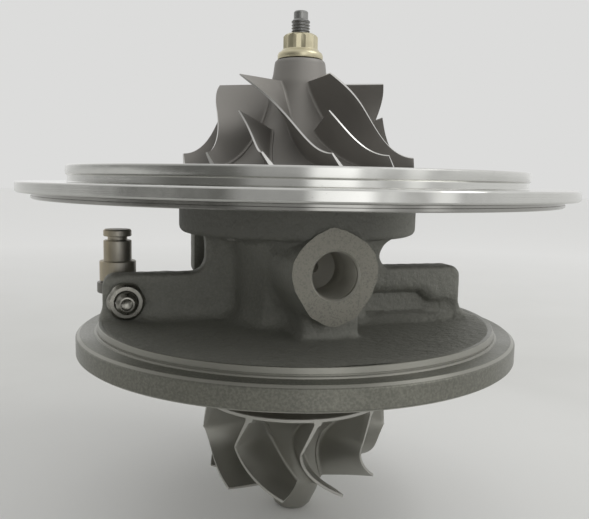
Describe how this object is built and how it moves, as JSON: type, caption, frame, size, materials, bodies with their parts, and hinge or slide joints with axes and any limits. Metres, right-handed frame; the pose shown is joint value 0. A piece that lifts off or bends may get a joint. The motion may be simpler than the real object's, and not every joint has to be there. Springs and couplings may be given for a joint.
{
  "type": "turbocharger rotating assembly cartridge",
  "caption": "Turbocharger cartridge: bearing housing between a wide backplate and a turbine-side flange, with a compressor and a turbine wheel on one shaft and a crank for the nozzle ring.",
  "frame": {"origin": "on the rotor axis, at the seating face of the turbine-side flange", "axes": "+Z along the rotor towards the compressor wheel, -Y the way the oil inlet faces, +Y the way the oil drain faces"},
  "size_m": [0.1292, 0.1292, 0.1235],
  "materials": {
    "cast_iron": "dark grey ductile iron, as cast on the column and webs, fine turned on the flange",
    "turned_aluminium": "bright fine turned aluminium with small handling nicks on its edges",
    "milled_aluminium": "dull dark cast and milled aluminium with bright machined blade edges",
    "nickel_alloy": "dark cast nickel alloy wheel on a ground steel shaft",
    "steel": "plain machined steel",
    "spring_steel": "dark spring steel",
    "scaled_steel": "pressed stainless sheet, dull",
    "bush_steel": "sintered bush steel",
    "tinted_steel": "turned steel, tinted brown on one side",
    "plated_steel": "bright zinc plated steel",
    "yellow_zinc": "steel with yellow zinc plate",
    "bearing_bronze": "plain bearing bronze",
    "black_rubber": "black fluororubber"
  },
  "bodies": {
    "housing": {"bearing_housing": "cast_iron", "locating_dowel": "steel", "snap_ring_1": "spring_steel", "snap_ring_2": "spring_steel", "snap_ring_3": "spring_steel", "snap_ring_4": "spring_steel", "thrust_bearing": "bearing_bronze", "thrust_pin_1": "steel", "thrust_pin_2": "steel", "oil_deflector": "steel", "compressor_backplate": "turned_aluminium", "backplate_screw_1": "steel", "backplate_screw_2": "steel", "backplate_screw_3": "steel", "backplate_screw_4": "steel", "housing_oring": "black_rubber", "heat_shield": "scaled_steel", "turbine_piston_ring": "spring_steel", "compressor_piston_ring": "spring_steel", "crank_bush": "bush_steel", "stop_screw": "plated_steel", "stop_screw_nut": "plated_steel"},
    "rotor": {"shaft_and_turbine_wheel": "nickel_alloy", "compressor_wheel": "milled_aluminium", "rotor_nut": "yellow_zinc", "thrust_collar": "steel", "seal_sleeve": "steel"},
    "turbine_bearing_ring": {"turbine_side_bearing": "bearing_bronze"},
    "compressor_bearing_ring": {"compressor_side_bearing": "bearing_bronze"},
    "crank": {"crank_shaft": "steel", "crank_arm": "steel", "actuator_pin": "tinted_steel", "inner_crank_arm": "steel"}
  },
  "joints": [
    {"name": "rotor_spin", "type": "hinge", "parent": "housing", "child": "rotor", "pos_m": [0, 0, 0], "axis": [0, 0, 1], "continuous": true},
    {"name": "turbine_bearing_float", "type": "hinge", "parent": "housing", "child": "turbine_bearing_ring", "pos_m": [0, 0, 0.0069], "axis": [0, 0, 1], "continuous": true},
    {"name": "compressor_bearing_float", "type": "hinge", "parent": "housing", "child": "compressor_bearing_ring", "pos_m": [0, 0, 0.0211], "axis": [0, 0, 1], "continuous": true},
    {"name": "crank_swing", "type": "hinge", "parent": "housing", "child": "crank", "pos_m": [-0.0297, 0.027, 0], "axis": [0, 0, -1], "range_deg": [0, 48]}
  ]
}
